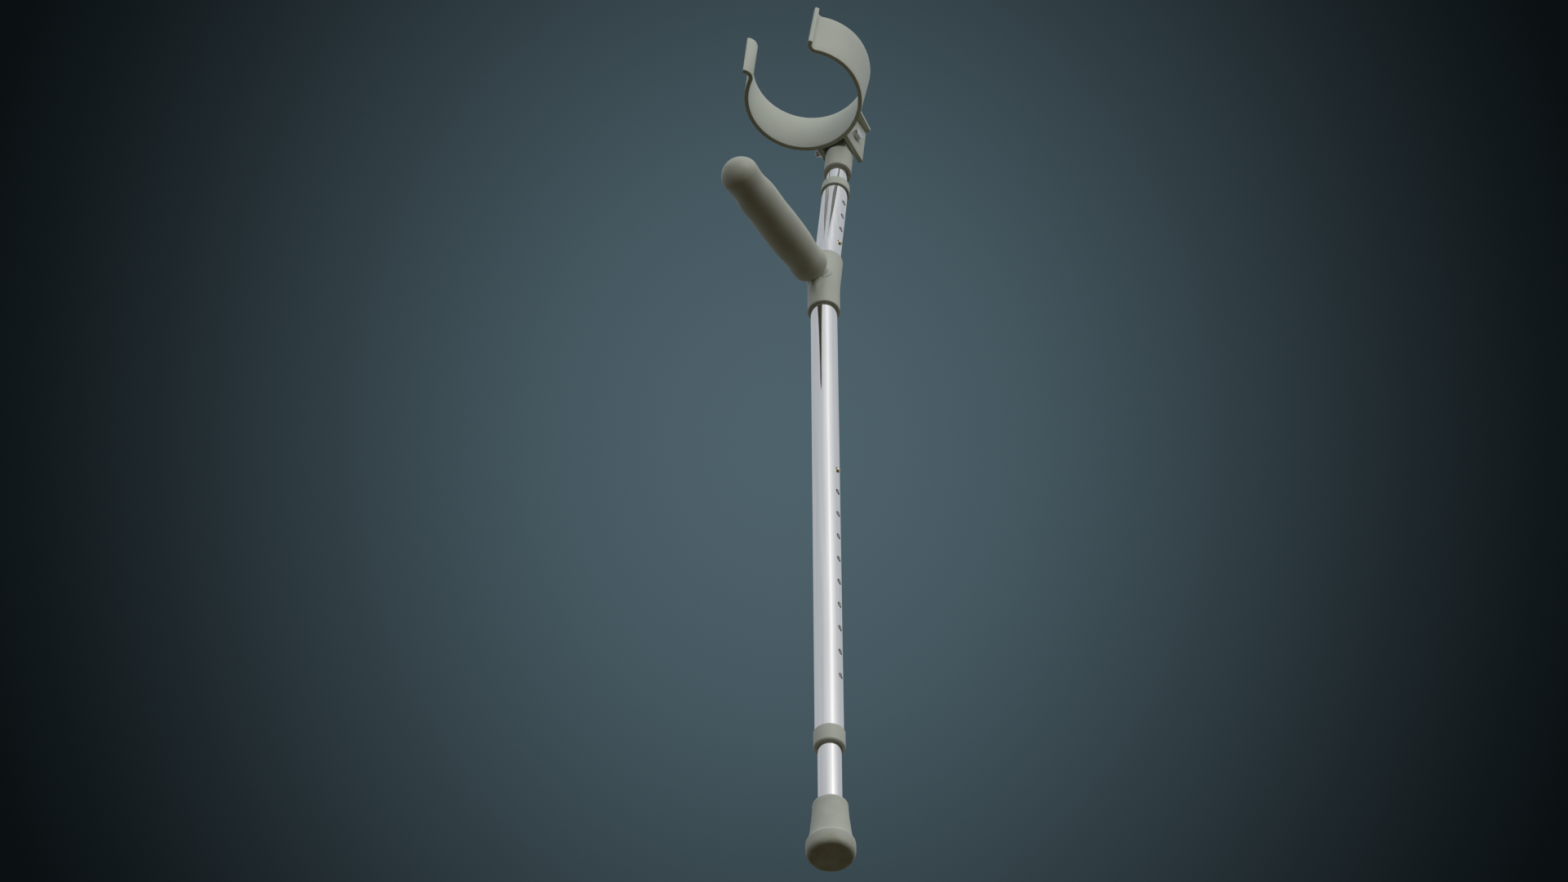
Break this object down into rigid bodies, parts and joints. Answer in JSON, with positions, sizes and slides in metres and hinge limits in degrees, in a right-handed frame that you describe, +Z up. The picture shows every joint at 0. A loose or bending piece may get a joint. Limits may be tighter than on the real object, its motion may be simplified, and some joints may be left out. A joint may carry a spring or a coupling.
{
  "type": "forearm crutch",
  "caption": "Telescopic forearm crutch: bent outer tube with snap-button leg and cuff tubes, fixed hand grip, tilting open arm cuff, rubber ferrule.",
  "frame": {"origin": "centre of the ferrule's flat ground face", "axes": "+Z up the lower tube's axis; -Y is the way the hand grip points and the way the cuff opens; +X is the side with the button holes"},
  "size_m": [0.1086, 0.1967, 0.9148],
  "materials": {
    "aluminium": "satin anodised",
    "plastic": "moulded, light grey-green",
    "grip": "soft moulded",
    "ferrule": "grey rubber",
    "brass": "worn",
    "steel": "zinc plated",
    "nylon": "natural nylon"
  },
  "bodies": {
    "frame": {"main_tube": "aluminium", "lower_collar": "plastic", "upper_collar": "plastic", "handle_bracket": "plastic", "bracket_rivet": "steel", "grip": "grip"},
    "leg": {"leg_tube": "aluminium", "leg_guide": "nylon", "ferrule": "ferrule", "ferrule_washer": "steel", "leg_spring": "steel"},
    "leg_button_body": {"leg_button": "brass"},
    "cuff_stem": {"cuff_tube": "aluminium", "cuff_guide": "nylon", "cuff_socket": "plastic", "pivot_sleeve": "steel", "cuff_spring": "steel"},
    "cuff_button_body": {"cuff_button": "brass"},
    "cuff": {"cuff_shell": "plastic", "pivot_bolt": "steel", "pivot_nut": "steel", "pivot_washer": "steel"}
  },
  "joints": [
    {"name": "leg_height", "type": "slide", "parent": "frame", "child": "leg", "axis": [0, 0, -1], "range_m": [0, 0.225], "deforming": ["leg_button", "leg_spring"]},
    {"name": "leg_button_press", "type": "slide", "parent": "leg", "child": "leg_button_body", "axis": [-1, 0, 0], "range_m": [0, 0.004], "stiffness_N_per_m": 1500, "springref_m": -0.002, "deforming": ["leg_spring"]},
    {"name": "cuff_height", "type": "slide", "parent": "frame", "child": "cuff_stem", "axis": [0, 0.1409, 0.99], "range_m": [0, 0.0615], "deforming": ["cuff_button", "cuff_spring"]},
    {"name": "cuff_button_press", "type": "slide", "parent": "cuff_stem", "child": "cuff_button_body", "axis": [-1, 0, 0], "range_m": [0, 0.004], "stiffness_N_per_m": 1500, "springref_m": -0.002, "deforming": ["cuff_spring"]},
    {"name": "cuff_tilt", "type": "hinge", "parent": "cuff_stem", "child": "cuff", "pos_m": [0, 0.03269, 0.85369], "axis": [1, 0, 0], "range_deg": [-15, 12]}
  ]
}
